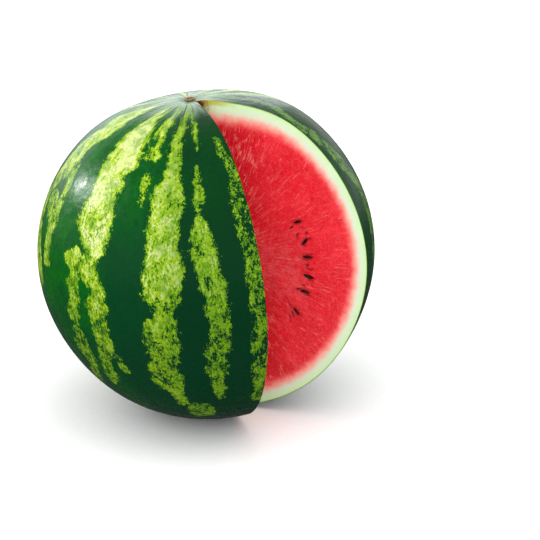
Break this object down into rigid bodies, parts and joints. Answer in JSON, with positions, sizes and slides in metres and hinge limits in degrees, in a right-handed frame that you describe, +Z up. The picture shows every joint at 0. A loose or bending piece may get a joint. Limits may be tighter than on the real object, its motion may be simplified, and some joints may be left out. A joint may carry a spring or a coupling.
{
  "type": "watermelon with a wedge cut out",
  "caption": "Round striped watermelon, stem end up, with one upright wedge cut out to show its rind, red flesh and dark seeds; stands on a small flat spot.",
  "frame": {"origin": "centre of the small flat spot that the melon stands on", "axes": "+Z up towards the stem end; the wedge opens towards -Y; X runs across the opening. The fruit's own axis leans 5.5 degrees from +Z, towards -X and +Y"},
  "size_m": [0.2696, 0.2574, 0.2598],
  "materials": {
    "melon_skin_and_flesh": "glossy dark green skin with jagged light stripes; on the cuts, wet red flesh inside a white and light green rind",
    "dry_stem": "dry, brown and corky",
    "seed_coat": "smooth black-brown, wet with juice"
  },
  "bodies": {
    "root": {"melon_body": "melon_skin_and_flesh", "stem_stub": "dry_stem", "seed_right_1": "seed_coat", "seed_right_2": "seed_coat", "seed_right_3": "seed_coat", "seed_right_4": "seed_coat", "seed_right_5": "seed_coat", "seed_right_6": "seed_coat", "seed_left_1": "seed_coat", "seed_left_2": "seed_coat", "seed_left_3": "seed_coat", "seed_left_4": "seed_coat", "seed_left_5": "seed_coat", "seed_left_6": "seed_coat"}
  },
  "joints": []
}
